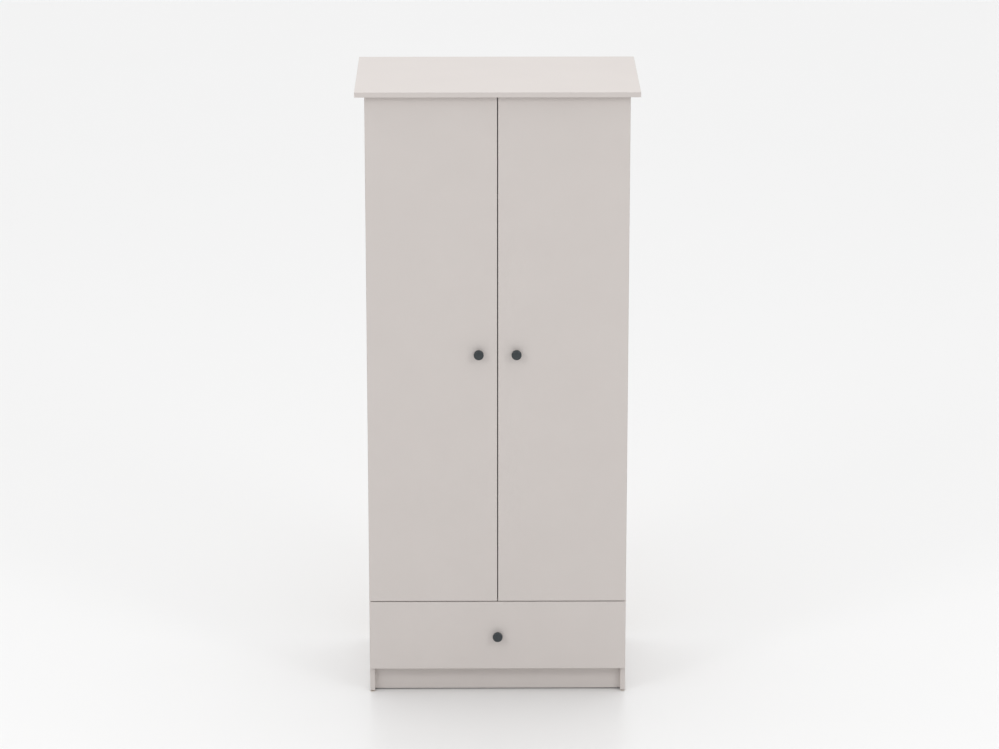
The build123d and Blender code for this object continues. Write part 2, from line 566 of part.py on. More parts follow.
def make_knob():
    """A turned metal knob up +Z from the face it is screwed to: a foot, a waist and a broad domed head."""
    head_top = KNOB_PROJECTION - KNOB_DOME
    under_top = KNOB_WAIST_LENGTH + KNOB_UNDERSIDE
    edge_radius = KNOB_RADIUS - KNOB_EDGE
    bulge = KNOB_EDGE * (1 - cos(radians(45)))
    foot = Line((0, 0), (KNOB_FOOT_RADIUS, 0))
    waist = ThreePointArc(
        foot @ 1, (KNOB_WAIST_RADIUS, KNOB_WAIST_LENGTH / 2), (KNOB_FOOT_RADIUS, KNOB_WAIST_LENGTH)
    )
    under_middle = (KNOB_RADIUS - 2.0, KNOB_WAIST_LENGTH + 0.35 * KNOB_UNDERSIDE)
    under = ThreePointArc(waist @ 1, under_middle, (KNOB_RADIUS, under_top))
    wall = Line(under @ 1, (KNOB_RADIUS, head_top - KNOB_EDGE))
    edge = ThreePointArc(wall @ 1, (KNOB_RADIUS - bulge, head_top - bulge), (edge_radius, head_top))
    dome_middle = (edge_radius * 0.6, head_top + 0.72 * KNOB_DOME)
    dome = ThreePointArc(edge @ 1, dome_middle, (KNOB_CROWN_RADIUS, KNOB_PROJECTION))
    crown = Line(dome @ 1, (0, KNOB_PROJECTION))
    axis = Line(crown @ 1, (0, 0))
    outline = make_face(foot + waist + under + wall + edge + dome + crown + axis)
    knob = revolve(Plane.XZ * outline, Axis.Z)
    return knob - Cylinder(KNOB_SCREW_RADIUS, KNOB_SCREW_IN_KNOB + HOLE_SPARE, align=FROM_START)


knob = make_knob()
knob_screw = pan_screw(BOARD + KNOB_SCREW_IN_KNOB, KNOB_SCREW_RADIUS, 4.5, 2.4)


def knob_hole(x, z):
    """The clearance hole through a front for its knob's screw."""
    return rod((x, FACE_Y, z), Y, KNOB_SCREW_RADIUS + 0.25, BOARD)


def save_knob(prefix, screw_prefix, x, z):
    save(prefix, placed(knob, (x, FACE_Y, z), -Y))
    save(screw_prefix, placed(knob_screw, (x, FRONTS_BACK_Y, z), -Y))


# ---------------------------------------------------------------- doors
BUMPER_RADIUS = 2.8
BUMPER_HEIGHT = FRONT_STANDOFF - 0.2
BUMPER_X = 24.0
BUMPER_ZS = (DOOR_BOTTOM + 4.0, HAT_SHELF_BOTTOM + BOARD / 2)

for side in SIDES:
    name = side_name(side)
    edges_x = sorted((side * REVEAL / 2, side * HALF_FRONT))
    door = block((edges_x[0], FACE_Y, DOOR_BOTTOM), (edges_x[1], FRONTS_BACK_Y, DOOR_TOP))
    door = fillet(door.edges(), FRONT_RADIUS)
    for z in HINGE_ZS:
        cup_start = hinge_point(CUP_IN_X, -FRONT_STANDOFF, z)
        door -= on_side(side, rod(cup_start, -Y, CUP_HOLE_RADIUS, CUP_DEPTH + 0.1))
    cup_screws = []
    for z, dz in cup_screw_places:
        at = hinge_point(CUP_SCREW_IN_X, -FRONT_STANDOFF + CUP_RIM, z + dz)
        door -= on_side(side, rod(at, -Y, CUP_SCREW_RADIUS, CUP_SCREW_LENGTH))
        cup_screws.append(on_side(side, placed(cup_screw, at, -Y)))
    door -= knob_hole(side * DOOR_KNOB_X, DOOR_MIDDLE)
    save(f"{name}_door_panel", door)
    save(f"{name}_hinge_cups", *[on_side(side, hinge_cup(z)) for z in HINGE_ZS])
    save(f"{name}_hinge_pins", *[on_side(side, hinge_pin(z)) for z in HINGE_ZS])
    save(f"{name}_hinge_cup_screws", *cup_screws)
    save_knob(f"{name}_door_knob", f"{name}_knob_screw", side * DOOR_KNOB_X, DOOR_MIDDLE)
    bumpers = [rod((side * BUMPER_X, FRONTS_BACK_Y, z), Y, BUMPER_RADIUS, BUMPER_HEIGHT) for z in BUMPER_ZS]
    save(f"{name}_door_bumpers", *[fillet(pad.edges().group_by(Axis.Y)[-1], 0.8) for pad in bumpers])

# ---------------------------------------------------------------- drawer runners
RUNNER_GAP = 12.5  # between the drawer's side and the cabinet's side
DRAWER_HALF_WIDTH = HALF_INSIDE - RUNNER_GAP
RUNNER_STEEL = 1.2
TRACK_Z = 120.0  # upper face of the flange that the rear rollers run on
ROLLER_RADIUS = 8.95
ROLLER_PLAY = 0.05
ROLLER_Z = TRACK_Z + ROLLER_PLAY + ROLLER_RADIUS
ROLLER_XS = (HALF_INSIDE - 9.5, HALF_INSIDE - 2.5)
FRONT_ROLLER_Y = CARCASS_FRONT_Y + 15.0
REAR_ROLLER_Y = FRONT_ROLLER_Y + 421.0
AXLE_RADIUS = 2.5
AXLE_PLAY = 0.05
CABINET_RUNNER_YS = (CARCASS_FRONT_Y + 2.0, CARCASS_FRONT_Y + 452.0)
CABINET_FLANGE_X = HALF_INSIDE - 10.0  # inner edge of the cabinet member's flanges
CABINET_LIP_Z = 140.5  # underside of the upper flange
DRAWER_BOX_BOTTOM = 125.0
DRAWER_FLANGE_Z = ROLLER_Z + ROLLER_RADIUS + ROLLER_PLAY
DRAWER_RUNNER_YS = (FRONTS_BACK_Y + 2.0, FRONTS_BACK_Y + 450.0)
DRAWER_FLANGE_END_Y = REAR_ROLLER_Y - ROLLER_RADIUS - 4.0
DRAWER_FLANGE_X = HALF_INSIDE - 3.0
RUNNER_SCREW_RADIUS = 1.9
RUNNER_SCREW_LENGTH = 13.0
CABINET_SCREW_YS = (CARCASS_FRONT_Y + 37.0, CARCASS_FRONT_Y + 229.0, CARCASS_FRONT_Y + 421.0)
DRAWER_SCREW_YS = (FRONTS_BACK_Y + 30.0, FRONTS_BACK_Y + 225.0, FRONTS_BACK_Y + 430.0)


def left_block(xs, ys, zs):
    """A box on the left side, from distances to the middle plane."""
    return block((-max(xs), ys[0], zs[0]), (-min(xs), ys[1], zs[1]))


def cabinet_runner():
    """The left cabinet member: a channel open to the drawer, with a roller's axle at its front."""
    ys = CABINET_RUNNER_YS
    web_x = HALF_INSIDE - RUNNER_STEEL
    runner = left_block((web_x, HALF_INSIDE), ys, (TRACK_Z - RUNNER_STEEL, CABINET_LIP_Z + RUNNER_STEEL))
    flange_xs = (CABINET_FLANGE_X, web_x)
    track_ys = (FRONT_ROLLER_Y + ROLLER_RADIUS + 1.5, ys[1])
    runner += left_block(flange_xs, track_ys, (TRACK_Z - RUNNER_STEEL, TRACK_Z))
    runner += left_block(flange_xs, ys, (CABINET_LIP_Z, CABINET_LIP_Z + RUNNER_STEEL))
    axle_start = (-web_x, FRONT_ROLLER_Y, ROLLER_Z)
    runner += rod(axle_start, X, AXLE_RADIUS, web_x - ROLLER_XS[0] + 0.2)
    head_start = (-ROLLER_XS[0] + 0.2, FRONT_ROLLER_Y, ROLLER_Z)
    runner += rod(head_start, X, AXLE_RADIUS + 1.0, 0.8)
    for y in CABINET_SCREW_YS:
        runner -= rod((-HALF_INSIDE, y, ROLLER_Z), X, RUNNER_SCREW_RADIUS + 0.2, RUNNER_STEEL)
    return runner


def drawer_runner():
    """The left drawer member: it holds the drawer's lower edge and rides on the front roller."""
    ys = DRAWER_RUNNER_YS
    leg_xs = (DRAWER_HALF_WIDTH, DRAWER_HALF_WIDTH + RUNNER_STEEL)
    foot_z = DRAWER_BOX_BOTTOM - RUNNER_STEEL
    runner = left_block(leg_xs, ys, (foot_z, DRAWER_FLANGE_Z + RUNNER_STEEL))
    foot_xs = (DRAWER_HALF_WIDTH - 15.0, DRAWER_HALF_WIDTH)
    runner += left_block(foot_xs, ys, (foot_z, DRAWER_BOX_BOTTOM))
    flange_xs = (leg_xs[1], DRAWER_FLANGE_X)
    flange_zs = (DRAWER_FLANGE_Z, DRAWER_FLANGE_Z + RUNNER_STEEL)
    runner += left_block(flange_xs, (ys[0], DRAWER_FLANGE_END_Y), flange_zs)
    axle_start = (-leg_xs[1], REAR_ROLLER_Y, ROLLER_Z)
    runner += rod(axle_start, -X, AXLE_RADIUS, ROLLER_XS[1] - leg_xs[1])
    for y in DRAWER_SCREW_YS:
        runner -= rod((-DRAWER_HALF_WIDTH + 7.0, y, foot_z), Z, RUNNER_SCREW_RADIUS + 0.2, RUNNER_STEEL)
    return runner


def roller(y):
    """The left plastic roller at one place along the runner."""
    wheel = rod((-ROLLER_XS[1], y, ROLLER_Z), X, ROLLER_RADIUS, ROLLER_XS[1] - ROLLER_XS[0])
    wheel = fillet(wheel.edges().filter_by(GeomType.CIRCLE), 0.5)
    return wheel - rod((-ROLLER_XS[1], y, ROLLER_Z), X, AXLE_RADIUS + AXLE_PLAY, ROLLER_XS[1] - ROLLER_XS[0])


cabinet_screw = pan_screw(RUNNER_SCREW_LENGTH, RUNNER_SCREW_RADIUS, 3.6, 1.0)
cabinet_screws = []
for side in SIDES:
    save(f"{side_name(side)}_cabinet_runner", on_side(side, cabinet_runner()))
    save(f"{side_name(side)}_drawer_runner", on_side(side, drawer_runner()))
    for y in CABINET_SCREW_YS:
        at = (-HALF_INSIDE + RUNNER_STEEL, y, ROLLER_Z)
        cabinet_screws.append(on_side(side, placed(cabinet_screw, at, -X)))
        hole = rod(at, -X, RUNNER_SCREW_RADIUS, RUNNER_SCREW_LENGTH)
        side_panels[side] -= on_side(side, hole)
save("cabinet_runner_screws", *cabinet_screws)
save("front_rollers", *[on_side(side, roller(FRONT_ROLLER_Y)) for side in SIDES])
save("rear_rollers", *[on_side(side, roller(REAR_ROLLER_Y)) for side in SIDES])

# ---------------------------------------------------------------- drawer
DRAWER_SIDE_TOP = 275.0
DRAWER_BACK_TOP = 265.0
DRAWER_BOX_BACK_Y = FRONTS_BACK_Y + 450.0
DRAWER_INNER_HALF = DRAWER_HALF_WIDTH - BOARD
DRAWER_BOTTOM_Z = 137.0
GROOVE_DEPTH = 6.0
GROOVE_PLAY = 0.2
DRAWER_CAM_ZS = (172.0, 248.0)
DRAWER_DOWEL_Z = 210.0
BACK_SCREW_ZS = (170.0, 238.0)
BACK_SCREW_RADIUS = 2.4
BACK_SCREW_LENGTH = 42.0
BACK_SCREW_HEAD = 4.2
BACK_SCREW_SINK = 2.6  # the heads lie below the surface, so that they clear the runners

front_low = (-HALF_FRONT, FACE_Y, DRAWER_FRONT_BOTTOM)
drawer_front = fillet(block(front_low, (HALF_FRONT, FRONTS_BACK_Y, DRAWER_FRONT_TOP)).edges(), FRONT_RADIUS)
drawer_front -= knob_hole(0, DRAWER_KNOB_Z)
groove_half = DRAWER_INNER_HALF + GROOVE_DEPTH
groove = block(
    (-groove_half, FRONTS_BACK_Y - GROOVE_DEPTH, DRAWER_BOTTOM_Z),
    (groove_half, DRAWER_BOX_BACK_Y, DRAWER_BOTTOM_Z + BACK_BOARD),
)
drawer_front -= groove
drawer_bottom = block(
    (-groove_half + GROOVE_PLAY, FRONTS_BACK_Y - GROOVE_DEPTH + GROOVE_PLAY, DRAWER_BOTTOM_Z),
    (groove_half - GROOVE_PLAY, DRAWER_BOX_BACK_Y, DRAWER_BOTTOM_Z + BACK_BOARD),
)
drawer_back = soften(
    block(
        (-DRAWER_INNER_HALF, DRAWER_BOX_BACK_Y - BOARD, DRAWER_BOTTOM_Z + BACK_BOARD),
        (DRAWER_INNER_HALF, DRAWER_BOX_BACK_Y, DRAWER_BACK_TOP),
    ),
    Axis.X,
    Axis.Z,
    -1,
)
back_screw = pan_screw(BACK_SCREW_LENGTH, BACK_SCREW_RADIUS, BACK_SCREW_HEAD, 2.4)
drawer_runner_screw = pan_screw(11.0, RUNNER_SCREW_RADIUS, 3.6, 1.2)
drawer_fittings = Fittings()
back_screws, drawer_runner_screws = [], []
for side in SIDES:
    edges_x = sorted((side * DRAWER_INNER_HALF, side * DRAWER_HALF_WIDTH))
    low = (edges_x[0], FRONTS_BACK_Y, DRAWER_BOX_BOTTOM)
    drawer_side = block(low, (edges_x[1], DRAWER_BOX_BACK_Y, DRAWER_SIDE_TOP))
    drawer_side = soften(drawer_side, Axis.Y, Axis.Z, -1) - groove
    middle_x = side * (DRAWER_HALF_WIDTH - BOARD / 2)
    for z in DRAWER_CAM_ZS:
        at = (middle_x, FRONTS_BACK_Y, z)
        drawer_side, drawer_front = drawer_fittings.cam_joint(at, Y, X * -side, drawer_side, drawer_front)
    at = (middle_x, FRONTS_BACK_Y, DRAWER_DOWEL_Z)
    drawer_side, drawer_front = drawer_fittings.dowel_joint(at, Y, drawer_side, drawer_front)
    for z in BACK_SCREW_ZS:
        outside = (side * DRAWER_HALF_WIDTH, DRAWER_BOX_BACK_Y - BOARD / 2, z)
        under_head = (side * (DRAWER_HALF_WIDTH - BACK_SCREW_SINK), DRAWER_BOX_BACK_Y - BOARD / 2, z)
        inward = X * -side
        drawer_side -= rod(outside, inward, BACK_SCREW_HEAD + 0.1, BACK_SCREW_SINK)
        drawer_side -= rod(under_head, inward, BACK_SCREW_RADIUS, BACK_SCREW_LENGTH)
        drawer_back -= rod(under_head, inward, BACK_SCREW_RADIUS, BACK_SCREW_LENGTH)
        back_screws.append(placed(back_screw, under_head, inward))
    for y in DRAWER_SCREW_YS:
        at = (side * (DRAWER_HALF_WIDTH - 7.0), y, DRAWER_BOX_BOTTOM - RUNNER_STEEL)
        drawer_runner_screws.append(placed(drawer_runner_screw, at, Z))
        drawer_side -= rod(at, Z, RUNNER_SCREW_RADIUS, 11.0)
    save(f"drawer_{side_name(side)}_side", drawer_side)
save("drawer_front", drawer_front)
save("drawer_bottom", drawer_bottom)
save("drawer_back", drawer_back)
save("drawer_back_screws", *back_screws)
save("drawer_runner_screws", *drawer_runner_screws)
save("drawer_cam_locks", *drawer_fittings.cams)
save("drawer_cam_bolts", *drawer_fittings.bolts)
save("drawer_dowels", *drawer_fittings.dowels)
save_knob("drawer_knob", "drawer_knob_screw", 0, DRAWER_KNOB_Z)

# ---------------------------------------------------------------- carcass boards, now with all their holes
save("top_panel", top_panel)
for side in SIDES:
    save(f"{side_name(side)}_side_panel", side_panels[side])
for name, panel in {**level_boards, **cross_rails}.items():
    save(name, panel)
save("cam_locks", *carcass_fittings.cams)
save("cam_bolts", *carcass_fittings.bolts)
save("wood_dowels", *carcass_fittings.dowels)
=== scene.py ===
"""Looks of a flat-packed two-door wardrobe with a drawer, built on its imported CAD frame, in metres."""

import math

import bmesh
import bpy
import numpy as np
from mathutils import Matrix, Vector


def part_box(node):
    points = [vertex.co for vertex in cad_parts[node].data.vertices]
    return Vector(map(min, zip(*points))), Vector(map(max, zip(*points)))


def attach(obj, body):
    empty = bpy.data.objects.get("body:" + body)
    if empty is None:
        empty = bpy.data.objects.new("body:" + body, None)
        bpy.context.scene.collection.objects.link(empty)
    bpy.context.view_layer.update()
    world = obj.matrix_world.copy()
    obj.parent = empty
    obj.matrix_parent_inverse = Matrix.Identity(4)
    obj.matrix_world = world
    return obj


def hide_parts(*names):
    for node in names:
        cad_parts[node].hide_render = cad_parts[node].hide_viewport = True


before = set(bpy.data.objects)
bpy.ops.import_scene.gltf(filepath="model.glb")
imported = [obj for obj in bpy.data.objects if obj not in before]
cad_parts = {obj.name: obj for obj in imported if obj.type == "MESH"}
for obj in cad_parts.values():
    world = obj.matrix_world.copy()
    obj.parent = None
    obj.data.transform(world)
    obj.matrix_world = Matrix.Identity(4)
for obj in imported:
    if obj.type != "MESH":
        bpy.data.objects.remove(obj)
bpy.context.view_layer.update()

# ------------------------------------------------------------------ camera
# A long lens a little left of the wardrobe's middle and well above it. It looks down a little at the doors,
# so that the top board's upper face shows.
LENS = 134.85  # mm, on a sensor 36 mm wide
CAMERA_DISTANCE = 11.40  # from the door faces
CAMERA_HEIGHT = 4.423
CAMERA_LEFT = 0.071
LOOK_DOWN = 16.34  # degrees
LOOK_RIGHT = 0.387

face_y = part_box("left_door_panel")[0].y
camera = bpy.data.objects.new("camera", bpy.data.cameras.new("camera"))
camera.data.sensor_width = 36.0
camera.data.lens = LENS
camera.data.clip_end = 200.0
camera.location = (-CAMERA_LEFT, face_y - CAMERA_DISTANCE, CAMERA_HEIGHT)
camera.rotation_euler = (math.radians(90 - LOOK_DOWN), 0, math.radians(-LOOK_RIGHT))
bpy.context.scene.collection.objects.link(camera)
bpy.context.scene.camera = camera


# ------------------------------------------------------------------ floor and light
# A pale studio floor with satin paint, which gives a faint, soft reflection. The white sky is brightest above
# and behind the wardrobe and dimmest low in front. Two softboxes beside the camera and a weak one overhead
# add to it.
MM = 0.001
FLOOR_HALF = 60.0
DUST = 900.0  # mm across a patch of the floor's uneven gloss
SKY_TOWARD = (0, 0.42, 0.91)  # where the sky is brightest
SKY_DIM, SKY_BRIGHT = 0.42, 1.23


def linear(code):
    """An sRGB colour such as "#C8C4C0" as linear RGBA: c / 12.92 in the dark, and else
    ((c + 0.055) / 1.055) ** 2.4."""
    srgb = np.array([int(code[i:i + 2], 16) for i in (1, 3, 5)]) / 255
    rgb = np.where(srgb <= 0.04045, srgb / 12.92, ((srgb + 0.055) / 1.055) ** 2.4)
    return (*rgb, 1.0)


def add(tree, kind, settings=None, links=None):
    """Adds a shader node, sets its properties or sockets, and links other nodes' outputs to its inputs."""
    node = tree.nodes.new("ShaderNode" + kind)
    for key, value in (settings or {}).items():
        if isinstance(key, int) or key in node.inputs:
            node.inputs[key].default_value = value
        else:
            setattr(node, key, value)
    for key, output in (links or {}).items():
        tree.links.new(output, node.inputs[key])
    return node


def finish_named(name, color, roughness, metallic=0.0):
    """A new material, its node tree and its Principled shader, whose patterns read Object coordinates."""
    material = bpy.data.materials.new(name)
    material.use_nodes = True
    tree = material.node_tree
    shader = tree.nodes["Principled BSDF"]
    shader.inputs["Base Color"].default_value = linear(color)
    shader.inputs["Roughness"].default_value = roughness
    shader.inputs["Metallic"].default_value = metallic
    return material, tree, shader


def grain(tree, millimetres, detail=2.0):
    """Noise from 0 to 1 whose lumps are that many millimetres across."""
    place = add(tree, "TexCoord").outputs["Object"]
    scale = (1 / (millimetres * MM),) * 3
    mapped = add(tree, "Mapping", {"Scale": scale}, {"Vector": place}).outputs["Vector"]
    return add(tree, "TexNoise", {"Scale": 1.0, "Detail": detail}, {"Vector": mapped}).outputs["Fac"]


floor_mesh = bpy.data.meshes.new("studio_floor")
corners = FLOOR_HALF * np.array([(-1, -1, 0), (1, -1, 0), (1, 1, 0), (-1, 1, 0)], float)
floor_mesh.from_pydata(corners.tolist(), [], [(0, 1, 2, 3)])
floor = bpy.data.objects.new("studio_floor", floor_mesh)
bpy.context.scene.collection.objects.link(floor)
floor_paint, tree, shader = finish_named("satin_floor_paint", "#ECECEC", 0.32)
dust = grain(tree, DUST)
spread = {"From Min": 0.0, "From Max": 1.0, "To Min": 0.30, "To Max": 0.36}
uneven = add(tree, "MapRange", spread, {"Value": dust}).outputs["Result"]
tree.links.new(uneven, shader.inputs["Roughness"])
floor_mesh.materials.append(floor_paint)

world = bpy.data.worlds.new("studio")
world.use_nodes = True
sky = world.node_tree
toward = add(sky, "TexCoord").outputs["Generated"]
product = {"operation": "DOT_PRODUCT", 1: SKY_TOWARD}
rise = add(sky, "VectorMath", product, {0: toward}).outputs["Value"]
glow = {"From Min": -0.5, "From Max": 1.0, "To Min": SKY_DIM, "To Max": SKY_BRIGHT}
strength = add(sky, "MapRange", glow, {"Value": rise}).outputs["Result"]
sky.links.new(strength, sky.nodes["Background"].inputs["Strength"])
sky.nodes["Background"].inputs["Color"].default_value = (1, 1, 1, 1)
bpy.context.scene.world = world
bpy.context.scene.view_settings.view_transform = "Standard"


def softbox(name, size, power, place, target):
    """A square area light that faces a target."""
    light = bpy.data.lights.new(name, "AREA")
    light.size = size
    light.energy = power
    box = bpy.data.objects.new(name, light)
    away = np.array(place, float) - np.array(target, float)
    box.location = place
    box.rotation_euler = (
        math.atan2(math.hypot(away[0], away[1]), away[2]),
        0,
        math.atan2(away[0], -away[1]),
    )
    bpy.context.scene.collection.objects.link(box)


softbox("overhead_softbox", 2.0, 2.0, (0, 0, 4.0), (0, 0, 0))
softbox("left_softbox", 1.6, 52.0, (-4.2, -4.6, 4.4), (0, 0, 1.5))
softbox("right_softbox", 1.6, 52.0, (4.2, -4.6, 4.4), (0, 0, 1.5))


# ------------------------------------------------------------------ faced boards
# Particle board 16 mm thick, pressed between sheets of resin-soaked decor paper, which gives a matt face
# with a fine pearl. Its seen edges carry a glued plastic band, and its hidden edges stay raw.
DECOR = "#D4CDC9"
DECOR_SHADE = "#D0C9C5"
BAND = "#D1CAC6"
PAINTED_EDGE_SHADE = "#AFA8A1"  # painted shade: a dark hairline along each rounded arris, darkening the edge as its shading would
PEARL = 2.4  # mm; the real pearl is about 0.5 mm, too fine to show
CHIP = 1.6  # mm
CHIP_STRETCH = 1.8  # chips lie longer along the board
MOTTLE = 140.0  # mm across a cloud in the decor
SHADE_LINE_FACING, SHADE_LINE_SPREAD = 0.86, 0.05  # where on the rounded arris the painted shade line lies
PEARL_DEPTH = 0.07  # mm
MIX_A, MIX_B, MIX_RESULT = 6, 7, 2  # the colour sockets of a Mix node


def put_on(material, *names):
    """Gives CAD nodes or pieces one finish."""
    for name in names:
        data = bpy.data.objects[name].data
        data.materials.clear()
        data.materials.append(material)


def board_finish(thin_axis, raw_rear, raw_foot):
    """Decor where the surface looks along the board's thin axis, band elsewhere, a painted dark shade line on
    the rounded arrises, and chips on raw edges.
    """
    name = "melamine_faced_board_" + "xyz"[thin_axis]
    material, tree, shader = finish_named(name, DECOR, 0.46)
    normal = add(tree, "TexCoord").outputs["Normal"]
    looks = add(tree, "SeparateXYZ", links={"Vector": normal})
    facing = add(tree, "Math", {"operation": "ABSOLUTE"}, {0: looks.outputs[thin_axis]}).outputs[0]
    is_face = add(
        tree, "MapRange", {"From Min": 0.90, "From Max": 0.95}, {"Value": facing}
    ).outputs["Result"]
    mottle = grain(tree, MOTTLE, 3.0)
    decor = add(
        tree,
        "Mix",
        {"data_type": "RGBA", MIX_A: linear(DECOR_SHADE), MIX_B: linear(DECOR)},
        {0: mottle},
    ).outputs[MIX_RESULT]
    color = add(
        tree, "Mix", {"data_type": "RGBA", MIX_A: linear(BAND)}, {0: is_face, MIX_B: decor}
    ).outputs[MIX_RESULT]
    # Painted shade: a dark line where the rounded arris turns away from the face, standing in for the edge's
    # shading
    past = {"operation": "COMPARE", 1: SHADE_LINE_FACING, 2: SHADE_LINE_SPREAD}
    painted_edge_shade = add(tree, "Math", past, {0: facing}).outputs[0]
    color = add(
        tree, "Mix", {"data_type": "RGBA", MIX_B: linear(PAINTED_EDGE_SHADE)}, {0: painted_edge_shade, MIX_A: color}
    ).outputs[MIX_RESULT]
    chip_place = add(
        tree,
        "Mapping",
        {"Scale": (1 / (CHIP * CHIP_STRETCH * MM), 1 / (CHIP * MM), 1 / (CHIP * MM))},
        {"Vector": add(tree, "TexCoord").outputs["Object"]},
    ).outputs["Vector"]
    chips = add(tree, "TexVoronoi", {"Scale": 1.0, "Randomness": 1.0}, {"Vector": chip_place})
    chip_value = add(tree, "SeparateColor", links={"Color": chips.outputs["Color"]}).outputs[0]
    raw = add(
        tree,
        "Mix",
        {"data_type": "RGBA", MIX_A: linear("#A88558"), MIX_B: linear("#D9BE93")},
        {0: chip_value},
    ).outputs[MIX_RESULT]
    for wanted, axis, sign in ((raw_rear, 1, 1), (raw_foot, 2, -1)):
        if wanted:
            side = add(tree, "Math", {"operation": "MULTIPLY", 1: sign}, {0: looks.outputs[axis]})
            is_raw = add(
                tree, "MapRange", {"From Min": 0.90, "From Max": 0.95}, {"Value": side.outputs[0]}
            ).outputs["Result"]
            color = add(
                tree, "Mix", {"data_type": "RGBA"}, {0: is_raw, MIX_A: color, MIX_B: raw}
            ).outputs[MIX_RESULT]
    tree.links.new(color, shader.inputs["Base Color"])
    pearl = grain(tree, PEARL, 1.0)
    gloss = {"To Min": 0.39, "To Max": 0.52}
    matt = add(tree, "MapRange", gloss, {"Value": pearl}).outputs["Result"]
    tree.links.new(matt, shader.inputs["Roughness"])
    bump = add(tree, "Bump", {"Strength": 0.35, "Distance": PEARL_DEPTH * MM}, {"Height": pearl})
    tree.links.new(bump.outputs["Normal"], shader.inputs["Normal"])
    return material


side_finish = board_finish(0, True, True)
front_finish = board_finish(1, False, False)
level_finish = board_finish(2, True, False)
put_on(side_finish, "left_side_panel", "right_side_panel", "drawer_left_side", "drawer_right_side")
put_on(front_finish, "left_door_panel", "right_door_panel", "drawer_front")
put_on(front_finish, "plinth_board", "rear_rail", "drawer_back")
put_on(level_finish, "top_panel", "hat_shelf", "middle_deck", "bottom_panel")


# ------------------------------------------------------------------ hardboard
# Wood fibre pressed 3 mm thin: lacquered greige on the face that looks into the wardrobe or the drawer, and
# bare brown on the other, with the fine weave that the press's wire mesh leaves.
WIRE = 2.0  # mm between the mesh's wires
FIBRE = 9.0  # mm across a tuft of fibre


def hardboard_finish(name, axis, sign, across):
    """Lacquer where the surface looks along sign times the axis, and bare fibre elsewhere."""
    material, tree, shader = finish_named(name, "#8A6A48", 0.62)
    place = add(tree, "TexCoord")
    looks = add(tree, "SeparateXYZ", links={"Vector": place.outputs["Normal"]}).outputs[axis]
    toward = add(tree, "Math", {"operation": "MULTIPLY", 1: sign}, {0: looks}).outputs[0]
    steep = {"From Min": 0.90, "From Max": 0.95}
    lacquered = add(tree, "MapRange", steep, {"Value": toward}).outputs["Result"]
    fibre = {"data_type": "RGBA", MIX_A: linear("#76583A"), MIX_B: linear("#9C7B55")}
    bare = add(tree, "Mix", fibre, {0: grain(tree, FIBRE, 6.0)}).outputs[MIX_RESULT]
    lacquer = {"data_type": "RGBA", MIX_B: linear("#D3CDC8")}
    color = add(tree, "Mix", lacquer, {0: lacquered, MIX_A: bare}).outputs[MIX_RESULT]
    tree.links.new(color, shader.inputs["Base Color"])
    wave_scale = 0.05 / (WIRE * MM)  # a wave texture makes 20 bands per unit at scale 1
    at = {"Vector": place.outputs["Object"]}
    weave = [
        add(tree, "TexWave", {"bands_direction": band, "Scale": wave_scale}, at).outputs["Fac"]
        for band in across
    ]
    crossed = add(tree, "Math", {"operation": "MULTIPLY"}, {0: weave[0], 1: weave[1]}).outputs[0]
    flat = {"To Min": 1.0, "To Max": 0.0}
    depth = add(tree, "MapRange", flat, {"Value": lacquered}).outputs["Result"]
    relief = add(tree, "Math", {"operation": "MULTIPLY"}, {0: crossed, 1: depth}).outputs[0]
    bump = add(tree, "Bump", {"Strength": 0.25, "Distance": 0.1 * MM}, {"Height": relief})
    tree.links.new(bump.outputs["Normal"], shader.inputs["Normal"])
    gloss = {"To Min": 0.62, "To Max": 0.42}
    matt = add(tree, "MapRange", gloss, {"Value": lacquered}).outputs["Result"]
    tree.links.new(matt, shader.inputs["Roughness"])
    return material


back_hardboard = hardboard_finish("lacquered_hardboard_back", "Y", -1, "XZ")
drawer_hardboard = hardboard_finish("lacquered_hardboard_drawer", "Z", 1, "XY")
put_on(back_hardboard, "left_back_panel", "right_back_panel")
put_on(drawer_hardboard, "drawer_bottom")


# ------------------------------------------------------------------ fittings
# Steel and zinc that is pressed, cast or rolled, then plated or coated, which gives a bright, even skin.
# Plastics and wooden dowels take the same finish without its metal.
def fitting_finish(name, color, shade, roughness, lump, metallic=1.0, relief=0.02):
    """A surface whose colour and roughness drift over lumps of that many millimetres, with a relief of that
    many millimetres."""
    material, tree, shader = finish_named(name, color, roughness, metallic)
    drift = grain(tree, lump, 3.0)
    mix = {"data_type": "RGBA", MIX_A: linear(shade), MIX_B: linear(color)}
    tree.links.new(add(tree, "Mix", mix, {0: drift}).outputs[MIX_RESULT], shader.inputs["Base Color"])
    gloss = {"To Min": roughness * 0.85, "To Max": roughness * 1.15}
    uneven = add(tree, "MapRange", gloss, {"Value": drift}).outputs["Result"]
    tree.links.new(uneven, shader.inputs["Roughness"])
    fine = grain(tree, lump / 6, 1.0)
    bump = add(tree, "Bump", {"Strength": 0.15, "Distance": relief * MM}, {"Height": fine})
    tree.links.new(bump.outputs["Normal"], shader.inputs["Normal"])
    return material


